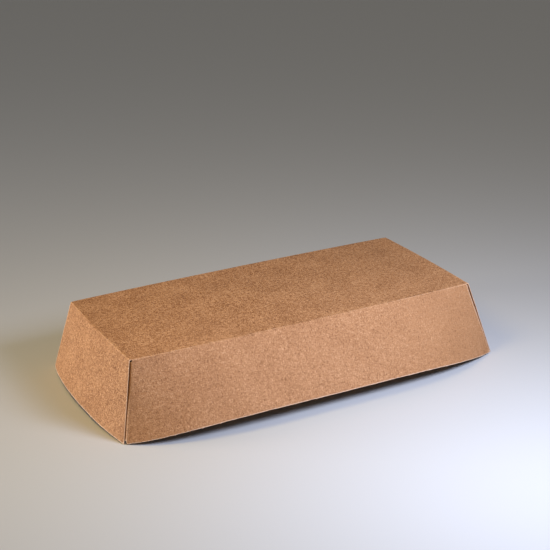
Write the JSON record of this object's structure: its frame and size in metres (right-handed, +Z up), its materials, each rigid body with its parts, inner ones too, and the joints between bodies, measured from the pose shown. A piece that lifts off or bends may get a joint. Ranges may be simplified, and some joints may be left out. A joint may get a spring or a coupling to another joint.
{
  "type": "kraft food tray",
  "caption": "Open kraft paperboard food tray folded from one sheet, with four sloping sides and glued corners, standing upside down on the corners of its rim.",
  "frame": {"origin": "middle of the surface that the four rim corners stand on", "axes": "+X along the tray, +Y across it, +Z up and out of the base panel, which is on top in this pose"},
  "size_m": [0.233, 0.1464, 0.0405],
  "materials": {
    "kraft_board": "matte uncoated brown kraft with fine fibre mottle, paler along the creases and the cut edges"
  },
  "bodies": {
    "root": {"tray": "kraft_board"}
  },
  "joints": []
}
